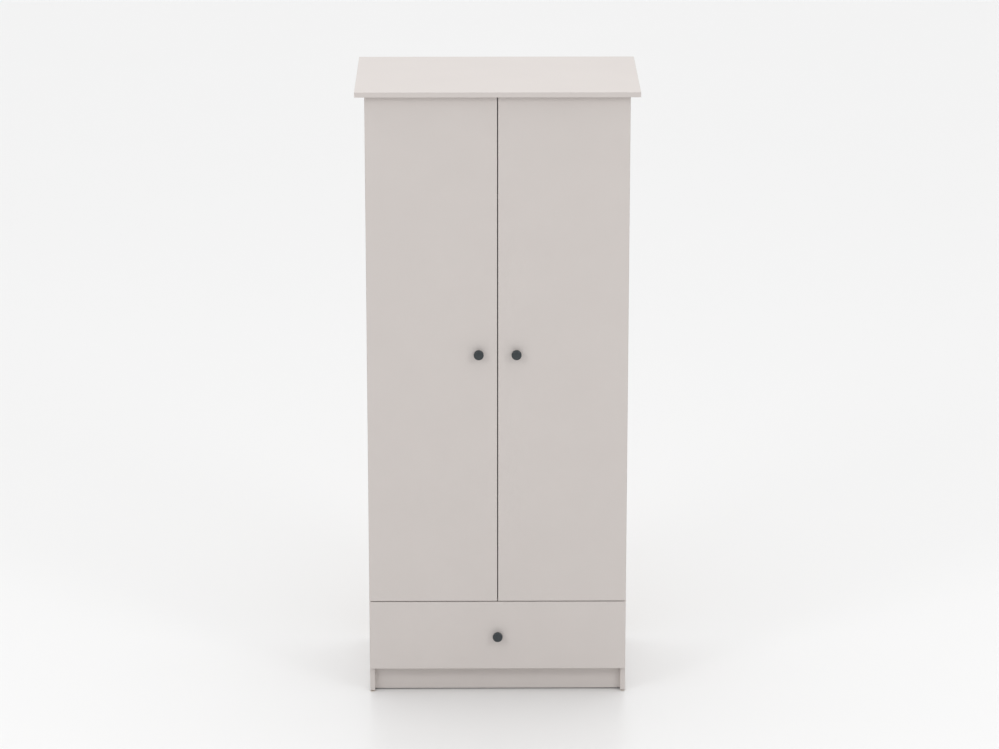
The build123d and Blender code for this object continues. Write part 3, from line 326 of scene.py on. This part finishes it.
nickel = fitting_finish("nickel_plated_pressed_steel", "#D2CCC2", "#BEB8AE", 0.22, 4.0)
zinc_plate = fitting_finish("zinc_plated_steel", "#C3C8CC", "#A9AEB2", 0.34, 2.5)
zinc_cast = fitting_finish("zinc_casting", "#B0B2B5", "#97999C", 0.46, 2.0, relief=0.05)
chrome = fitting_finish("chromed_steel_tube", "#E4E5E6", "#DADCDD", 0.07, 60.0, relief=0.0)
epoxy = fitting_finish("epoxy_coated_steel", "#E8E7E3", "#E1E0DB", 0.42, 5.0, metallic=0.0, relief=0.10)
nylon = fitting_finish("moulded_nylon", "#EBE9E2", "#E2E0D8", 0.38, 5.0, metallic=0.0)
greige_pvc = fitting_finish("extruded_greige_pvc", "#CFCAC4", "#C6C1BB", 0.35, 30.0, metallic=0.0)
dark_pe = fitting_finish("moulded_dark_polyethylene", "#1D1D1E", "#161617", 0.5, 4.0, metallic=0.0)
rubber = fitting_finish("soft_clear_polyurethane", "#DAD9D4", "#CFCEC9", 0.25, 4.0, metallic=0.0)
beech = fitting_finish("fluted_beech", "#D6B68A", "#C09A6A", 0.6, 3.0, metallic=0.0, relief=0.1)

put_on(nickel, "hinge_hooks", "hinge_plates")
put_on(zinc_plate, "back_panel_nails", "rail_socket_screws", "cam_bolts", "cabinet_runner_screws")
put_on(zinc_plate, "hinge_plate_screws", "hinge_adjusting_screws", "wall_brackets", "wall_bracket_screws")
put_on(zinc_plate, "drawer_runner_screws", "drawer_knob_screw", "drawer_cam_bolts", "drawer_back_screws")
put_on(zinc_cast, "left_rail_socket", "right_rail_socket", "cam_locks", "drawer_cam_locks")
put_on(dark_pe, "floor_glides")
put_on(beech, "wood_dowels", "drawer_dowels")
for side in ("left", "right"):
    put_on(nickel, f"{side}_hinge_pins")
    put_on(zinc_plate, f"{side}_hinge_cup_screws", f"{side}_knob_screw")


# ------------------------------------------------------------------ knobs
# Cast zinc, turned to a foot, a waist and a broad domed head, and powder-coated satin black, which gives soft
# highlights. Each is held by one screw from inside.
KNOB_SEGMENTS = 96
ARC_STEPS = 14
SHARP = 35  # degrees between faces, past which an edge stays sharp
RIM = 0.27  # of the knob's radius, as the two below
FOOT_RADIUS, WAIST_RADIUS = 0.53, 0.40
NECK = 0.38  # of the knob's length
UNDER_RIM = 0.8  # the rounding under the head, as a share of the rim
FOOT_EDGE = 0.5 * MM
NECK_LIFT = 0.6 * MM
DOME_DROP = 0.6 * MM  # from the dome's top to the rim
DOME_BALL = 60 * MM


def arc(centre, radius, start, end, steps=ARC_STEPS):
    """Points on a circle in the (radius, height) plane: centre + radius * (cos a, sin a)."""
    angle = np.radians(np.linspace(start, end, steps))
    return np.stack([centre[0] + radius * np.cos(angle), centre[1] + radius * np.sin(angle)], 1)


def turned(profile, foot, along, segments=KNOB_SEGMENTS):
    """Loops of a surface of revolution: each profile point (r, h) gives the circle
    foot + h * along + r * (cos t * u + sin t * v), where u and v are square to the axis and to each other."""
    along = np.array(along, float)
    u = np.array((0, 0, 1.0)) if abs(along[2]) < 0.9 else np.array((1.0, 0, 0))
    v = np.cross(along, u)
    t = np.linspace(0, 2 * np.pi, segments, endpoint=False)
    circle = np.cos(t)[:, None] * u + np.sin(t)[:, None] * v
    profile = np.asarray(profile, float)
    return np.array(foot, float) + profile[:, None, :1] * circle + profile[:, None, 1:] * along


def shell(loops, ringed=False):
    """Points and faces of quads between neighbouring closed loops, an array (loops, points, 3). The first and
    last loops are joined to each other if ringed, and are filled if not."""
    loops = np.asarray(loops, float)
    rows, count = loops.shape[:2]
    first = np.arange(rows if ringed else rows - 1)[:, None] * count
    second = (first + count) % (rows * count)
    here = np.arange(count)
    after = (here + 1) % count
    quads = np.stack([first + here, first + after, second + after, second + here], -1)
    ends = [] if ringed else [here[::-1].tolist(), (here + (rows - 1) * count).tolist()]
    return loops.reshape(-1, 3), quads.reshape(-1, 4).tolist() + ends


def piece(name, shells, material, body, slot, *nodes):
    """One object from closed shells, which rides on a body and replaces CAD nodes."""
    faces, first = [], 0
    for points, quads in shells:
        faces += [[first + corner for corner in face] for face in quads]
        first += len(points)
    mesh = bpy.data.meshes.new(name)
    mesh.from_pydata(np.concatenate([points for points, _ in shells]).tolist(), [], faces)
    outward = bmesh.new()
    outward.from_mesh(mesh)
    bmesh.ops.recalc_face_normals(outward, faces=outward.faces)
    outward.to_mesh(mesh)
    outward.free()
    mesh.shade_smooth()
    mesh.set_sharp_from_angle(angle=math.radians(SHARP))
    mesh.materials.append(material)
    made = bpy.data.objects.new(name, mesh)
    bpy.context.scene.collection.objects.link(made)
    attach(made, body)
    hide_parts(*nodes)


powder_coat = fitting_finish(
    "satin_black_powder_coat", "#3F4447", "#383D40", 0.34, 3.0, metallic=0.35, relief=0.16
)
knob_bodies = {"left_door_knob": "left_door", "right_door_knob": "right_door", "drawer_knob": "drawer"}
for node, body in knob_bodies.items():
    low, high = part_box(node)
    radius, length = (high.x - low.x) / 2, high.y - low.y
    rim = RIM * radius
    foot_radius, waist = FOOT_RADIUS * radius, WAIST_RADIUS * radius
    neck = NECK * length
    profile = np.concatenate([
        [(foot_radius - FOOT_EDGE, 0)],
        arc((foot_radius - FOOT_EDGE, FOOT_EDGE), FOOT_EDGE, -60, 0, 4),
        arc((waist + neck, neck / 2 + NECK_LIFT), neck, 196, 164),
        arc((radius - rim * UNDER_RIM, neck + rim * 1.1), rim * UNDER_RIM, -70, 0),
        arc((radius - rim, length - rim - DOME_DROP), rim, 0, 80),
        arc((0, length - DOME_BALL), DOME_BALL, 79.5, 89.2, 12),
    ])
    foot = ((low.x + high.x) / 2, high.y, (low.z + high.z) / 2)
    knob = [shell(turned(profile, foot, (0, -1, 0)))]
    piece(node + "_turned", knob, powder_coat, body, "black_metal", node)


# ------------------------------------------------------------------ drawer runners
# Steel strip rolled to shape and coated white. The cabinet's members are channels, whose lower flanges stop
# short of the front rollers; the drawer's members hold its lower edges and carry the rear axles.
STEEL = 1.2 * MM
BEND = 0.4 * MM  # inside a bend
TIP = 0.3 * MM  # at a cut edge
STUB = STEEL + BEND + TIP  # what is left of a flange where it's cut away
CABINET_FLANGE = 10.0 * MM
DRAWER_FOOT = 15.0 * MM
FLANGE_FADE = 6.0 * MM
AXLE = 2.5 * MM
AXLE_SEGMENTS = 32
RIVET_RADIUS = 3.5 * MM
RIVET_HEAD = 0.8 * MM
AXLE_END = 0.5 * MM  # how far the rear axle's rounded end stands past the flange
WHEEL_GAP = 1.5 * MM  # between the front roller and the cut flange
REAR_GAP = 4.0 * MM  # between the rear roller and the cut flange
BEND_STEPS = 5
EASE_STEPS = 7


def rounded(corners, radii, steps=BEND_STEPS):
    """A closed outline in a plane, with an arc at each corner P: its centre is P + r / sin(h) * b, where h is
    half the corner's angle and b its bisector. It turns from the tangent point before P to the one after."""
    corner = np.array(corners, float)
    radius = np.array(radii, float)[:, None]
    back = np.roll(corner, 1, 0) - corner
    ahead = np.roll(corner, -1, 0) - corner
    back /= np.linalg.norm(back, axis=1)[:, None]
    ahead /= np.linalg.norm(ahead, axis=1)[:, None]
    half = np.arccos(np.clip((back * ahead).sum(1), -1, 1))[:, None] / 2
    bisector = (back + ahead) / np.linalg.norm(back + ahead, axis=1)[:, None]
    centre = corner + radius / np.sin(half) * bisector
    start = corner + radius / np.tan(half) * back - centre
    end = corner + radius / np.tan(half) * ahead - centre
    turn = (np.pi - 2 * half)[:, :, None]
    k = np.linspace(0, 1, steps)[None, :, None]
    spoke = np.sin((1 - k) * turn) * start[:, None] + np.sin(k * turn) * end[:, None]
    spoke = spoke / np.sin(turn)
    return (centre[:, None] + spoke).reshape(-1, 2)


def along_y(outline, y):
    """An (x, z) outline as a loop of points at one y."""
    return np.stack([outline[:, 0], np.full(len(outline), y), outline[:, 1]], 1)


def eased(start, end):
    """Even steps k from start to end, and how far the flange has grown at each: 3 k^2 - 2 k^3."""
    k = np.linspace(0, 1, EASE_STEPS)
    return start + (end - start) * k, 3 * k ** 2 - 2 * k ** 3


def stud(x, y, z, side, length, head_radius, head_length):
    """An axle from a wall towards the middle or away from it, with a rivet's head at its end."""
    head = length - head_length
    profile = np.concatenate([
        [(AXLE, 0), (AXLE, head), (head_radius, head)],
        arc((head_radius - 0.6 * head_length, head + 0.4 * head_length), 0.6 * head_length, 0, 85, 5),
        [(0.3 * MM, length)],
    ])
    return shell(turned(profile, (x, y, z), (side, 0, 0), AXLE_SEGMENTS))


for side, word in ((-1, "left"), (1, "right")):
    low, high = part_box(f"{word}_cabinet_runner")
    wheel_low, wheel_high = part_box("front_rollers")
    wall = max(abs(low.x), abs(high.x))
    wheel_y, wheel_z = (wheel_low.y + wheel_high.y) / 2, (wheel_low.z + wheel_high.z) / 2
    cut = wheel_high.y + WHEEL_GAP
    ys, grown = eased(cut, cut + FLANGE_FADE)
    stations = [(low.y, 0.0), *zip(ys, grown), (high.y, 1.0)]
    loops = []
    for y, share in stations:
        reach = STUB + share * (CABINET_FLANGE - STUB)
        inward = [(0, low.z), (reach, low.z), (reach, low.z + STEEL), (STEEL, low.z + STEEL)]
        inward += [(STEEL, high.z - STEEL), (CABINET_FLANGE, high.z - STEEL)]
        inward += [(CABINET_FLANGE, high.z), (0, high.z)]
        corners = [(side * (wall - depth), z) for depth, z in inward]
        bends = [BEND + STEEL, TIP, TIP, BEND, BEND, TIP, TIP, BEND + STEEL]
        loops.append(along_y(rounded(corners, bends), y))
    axle_length = (high.x - low.x) - STEEL
    start = side * (wall - STEEL)
    axle = stud(start, wheel_y, wheel_z, -side, axle_length, RIVET_RADIUS, RIVET_HEAD)
    name = f"{word}_cabinet_runner"
    piece(name + "_rolled", [shell(loops), axle], epoxy, "carcass", "white_steel", name)

    low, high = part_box(f"{word}_drawer_runner")
    wheel_low, wheel_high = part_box("rear_rollers")
    flank = min(abs(low.x), abs(high.x)) + DRAWER_FOOT
    flange = max(abs(low.x), abs(high.x)) - AXLE_END - flank
    wheel_y = (wheel_low.y + wheel_high.y) / 2
    cut = wheel_low.y - REAR_GAP
    ys, grown = eased(cut - FLANGE_FADE, cut)
    stations = [(low.y, 1.0), *zip(ys, 1 - grown), (high.y, 0.0)]
    loops = []
    for y, share in stations:
        reach = STUB + share * (flange - STUB)
        outward = [(-DRAWER_FOOT, low.z), (STEEL, low.z), (STEEL, high.z - STEEL), (reach, high.z - STEEL)]
        outward += [(reach, high.z), (0, high.z), (0, low.z + STEEL), (-DRAWER_FOOT, low.z + STEEL)]
        corners = [(side * (flank + depth), z) for depth, z in outward]
        bends = [TIP, BEND + STEEL, BEND, TIP, TIP, BEND + STEEL, BEND, TIP]
        loops.append(along_y(rounded(corners, bends), y))
    axle_length = max(abs(low.x), abs(high.x)) - flank - STEEL
    axle = stud(side * (flank + STEEL), wheel_y, wheel_z, side, axle_length, AXLE, AXLE_END)
    name = f"{word}_drawer_runner"
    piece(name + "_rolled", [shell(loops), axle], epoxy, "drawer", "white_steel", name)


# ------------------------------------------------------------------ rollers
# Moulded nylon wheels with a rounded tread and a groove between hub and rim, one pair on each spin joint.
WHEEL_WIDTH = 7.0 * MM
WHEEL_BORE = 2.55 * MM
HUB = 4.6 * MM
RIM_INSIDE = 7.2 * MM
GROOVE = 1.3 * MM
BORE_EDGE = 0.2 * MM
HUB_FOOT = 0.4 * MM
RIM_EDGE = 0.3 * MM
TREAD_EDGE = 0.8 * MM
WHEEL_SEGMENTS = 72
for node in ("front_rollers", "rear_rollers"):
    low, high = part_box(node)
    tread = (high.z - low.z) / 2
    w = WHEEL_WIDTH
    corners = [(WHEEL_BORE, 0), (HUB, 0), (HUB, GROOVE), (RIM_INSIDE, GROOVE), (RIM_INSIDE, 0), (tread, 0)]
    corners += [(tread, w), (RIM_INSIDE, w), (RIM_INSIDE, w - GROOVE), (HUB, w - GROOVE)]
    corners += [(HUB, w), (WHEEL_BORE, w)]
    radii = [BORE_EDGE, BORE_EDGE, HUB_FOOT, HUB_FOOT, RIM_EDGE, TREAD_EDGE]
    outline = rounded(corners, radii + radii[::-1])
    y, z = (low.y + high.y) / 2, (low.z + high.z) / 2
    wheels = [
        shell(turned(outline, (x, y, z), (along, 0, 0), WHEEL_SEGMENTS), ringed=True)
        for x, along in ((low.x, 1), (high.x, -1))
    ]
    piece(node + "_moulded", wheels, nylon, node, "white_nylon", node)


# ------------------------------------------------------------------ hinge arms
# Pressed steel channels, nickel-plated, that straddle the mounting plates and narrow towards the hooks.
ARM_DEPTH = 8.2 * MM
ARM_NOSE = 5.6 * MM  # half width at the front
ARM_BEND = 1.0 * MM
NOSE_LENGTH = 14 * MM
PIN_HALF = 8.2 * MM  # half a hinge pin's length
low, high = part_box("hinge_arms")
pin_low, pin_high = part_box("left_hinge_pins")
hinge_zs = (pin_low.z + PIN_HALF, (pin_low.z + pin_high.z) / 2, pin_high.z - PIN_HALF)
arm_half = high.z - hinge_zs[2]
arms = []
for side in (-1, 1):
    outer = side * high.x
    for z in hinge_zs:
        ys, grown = eased(low.y, low.y + NOSE_LENGTH)
        stations = [*zip(ys, ARM_NOSE + (arm_half - ARM_NOSE) * grown), (high.y, arm_half)]
        loops = []
        for y, half in stations:
            d, inside = ARM_DEPTH, half - STEEL
            channel = [(0, -half), (d, -half), (d, half), (0, half), (0, inside), (d - STEEL, inside)]
            channel += [(d - STEEL, -inside), (0, -inside)]
            corners = [(outer - side * depth, z + rise) for depth, rise in channel]
            bends = [TIP, ARM_BEND + STEEL, ARM_BEND + STEEL, TIP, TIP, ARM_BEND, ARM_BEND, TIP]
            loops.append(along_y(rounded(corners, bends, 7), y))
        arms.append(shell(loops))
piece("hinge_arms_pressed", arms, nickel, "carcass", "nickel_steel", "hinge_arms")


# ------------------------------------------------------------------ hinge cups
# Bowls pressed from steel strip, nickel-plated, let into the doors. Each flange is a disc, cut straight on
# the side of the door's edge, with two round-ended ears for its screws.
BOWL = 17.4 * MM
BOWL_STEEL = 0.9 * MM
BOWL_CORNER = 2.0 * MM
FLANGE_RADIUS = 19.5 * MM
FLANGE_STEEL = 1.0 * MM
FLANGE_CUT = 16.5 * MM  # from the cup's middle
EAR_LOW, EAR_HIGH = -1.0 * MM, 13.0 * MM  # the ear's edges, from the cup's middle
EAR_RISE = 24.0 * MM
MIDDLE = 0.5 * MM  # the radius of the bowl's last, filled loop
LIP = 0.6 * MM
ARRIS, ARRIS_TOP = 0.3 * MM, 0.1 * MM
RAY_STEP = 1.5  # degrees
on_disc = [(u, math.sqrt(FLANGE_RADIUS ** 2 - u ** 2)) for u in (EAR_LOW, EAR_HIGH, -FLANGE_CUT)]
corners = [*on_disc, (EAR_LOW, EAR_RISE), (EAR_HIGH, EAR_RISE)]  # the flange's, above the cup's middle
bends = [math.atan2(z, u) for u, z in corners]
even = np.radians(np.arange(-180, 180, RAY_STEP))
theta = np.unique(np.concatenate([even, bends, np.negative(bends)]))
ray = np.stack([np.cos(theta), np.sin(theta)])
with np.errstate(divide="ignore"):
    to_cut = np.where(ray[0] < 0, -FLANGE_CUT / ray[0], np.inf)
    to_side = np.where(ray[0] < 0, EAR_LOW, EAR_HIGH) / ray[0]
    to_end = EAR_RISE / np.abs(ray[1])
disc = np.minimum(FLANGE_RADIUS, to_cut)
strap = np.minimum(to_side, to_end)
ear_radius, ear_middle = (EAR_HIGH - EAR_LOW) / 2, (EAR_HIGH + EAR_LOW) / 2
along_ray = ear_middle * ray[0] + EAR_RISE * np.abs(ray[1])
room = ear_radius ** 2 - ear_middle ** 2 - EAR_RISE ** 2 + along_ray ** 2
ear = np.where(room > 0, along_ray + np.sqrt(np.maximum(room, 0)), 0)
outline = np.maximum(np.maximum(disc, strap), ear)  # the farthest point of the flange along each ray

for side, word in ((-1, "left"), (1, "right")):
    node = f"{word}_hinge_cups"
    low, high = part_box(node)
    edge_x = high.x - FLANGE_RADIUS if side < 0 else low.x + FLANGE_RADIUS
    seat = high.y - FLANGE_STEEL
    floor_y = low.y
    inner = BOWL - BOWL_STEEL
    outer_bend = BOWL_CORNER + BOWL_STEEL
    outer_arc = arc((BOWL - BOWL_CORNER - BOWL_STEEL, outer_bend), outer_bend, -88, 0, 8)
    inner_arc = arc((inner - BOWL_CORNER, BOWL_STEEL + BOWL_CORNER), BOWL_CORNER, 0, -88, 8)
    outside = [(MIDDLE, 0), *outer_arc.tolist(), (BOWL, seat - floor_y)]
    top = high.y - floor_y
    lip = arc((inner + LIP, top - LIP), LIP, 90, 180, 6)
    inside = [*lip.tolist(), *inner_arc.tolist(), (MIDDLE, BOWL_STEEL)]
    circles = [(np.full(len(theta), r), h) for r, h in outside]
    circles += [(outline, seat - floor_y), (outline, top - ARRIS)]
    circles += [(outline - ARRIS_TOP, top - ARRIS_TOP), (outline - ARRIS, top)]
    circles += [(np.full(len(theta), r), h) for r, h in inside]
    cups = []
    for z in hinge_zs:
        loops = [
            np.stack([edge_x - side * r * ray[0], np.full(len(theta), floor_y + h), z + r * ray[1]], 1)
            for r, h in circles
        ]
        cups.append(shell(loops))
    piece(node + "_pressed", cups, nickel, f"{word}_door", "nickel_steel", node)


# ------------------------------------------------------------------ strip between the back boards
# One extruded plastic section, shaped like an H on its side, whose slots grip the edges of both boards.
# Extrusion leaves it smooth, with faintly softened edges.
STRIP_LIP = 1.0 * MM
STRIP_WEB = 1.5 * MM  # half the web's width
STRIP_EDGE, STRIP_ROOT = 0.3 * MM, 0.2 * MM
low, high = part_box("back_joining_strip")
half = high.x
half_section = [(-half, low.y), (half, low.y), (half, low.y + STRIP_LIP), (STRIP_WEB, low.y + STRIP_LIP)]
half_section += [(STRIP_WEB, high.y - STRIP_LIP), (half, high.y - STRIP_LIP)]
section = half_section + [(-x, low.y + high.y - y) for x, y in half_section]
rims = [STRIP_EDGE, STRIP_EDGE, STRIP_EDGE, STRIP_ROOT, STRIP_ROOT, STRIP_EDGE] * 2
extruded = rounded(section, rims)
loops = [np.column_stack([extruded, np.full(len(extruded), z)]) for z in (low.z, high.z)]
strip = [shell(loops)]
piece("back_joining_strip_extruded", strip, greige_pvc, "carcass", "strip_plastic", "back_joining_strip")


# ------------------------------------------------------------------ hanging rail
# An oval steel tube, drawn and chrome-plated to a mirror, that drops into the sockets' collars at its ends
# and carries the hangers.
RAIL_WALL = 1.2 * MM
NEARLY_ROUND = 0.9999  # of the half size, so that neighbouring arcs keep apart
low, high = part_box("hanging_rail")
middle = np.array(((low.y + high.y) / 2, (low.z + high.z) / 2))
half = np.array(((high.y - low.y) / 2, (high.z - low.z) / 2))
square = np.array([(-1, -1), (1, -1), (1, 1), (-1, 1)])
loops = []
for x, inset in ((low.x, 0), (high.x, 0), (high.x, RAIL_WALL), (low.x, RAIL_WALL)):
    grow = half - inset
    outline = middle + rounded(square * grow, [grow[0] * NEARLY_ROUND] * 4, 20)
    loops.append(np.column_stack([np.full(len(outline), x), outline]))
piece("hanging_rail_drawn", [shell(loops, ringed=True)], chrome, "carcass", "chrome_tube", "hanging_rail")


# ------------------------------------------------------------------ door bumpers
# Soft, clear polyurethane domes, glued to the doors' inner faces, that meet the carcass without a
# knock when the doors close.
DOME_SEGMENTS = 40
for side in ("left", "right"):
    node = f"{side}_door_bumpers"
    low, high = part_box(node)
    radius, height = (high.x - low.x) / 2, high.y - low.y
    ball = (radius ** 2 + height ** 2) / (2 * height)
    edge = math.degrees(math.acos(radius / ball))
    profile = arc((0, height - ball), ball, edge, 88.0, 12)
    domes = [
        shell(turned(profile, ((low.x + high.x) / 2, low.y, z), (0, 1, 0), DOME_SEGMENTS))
        for z in (low.z + radius, high.z - radius)
    ]
    piece(node + "_domed", domes, rubber, f"{side}_door", "clear_rubber", node)
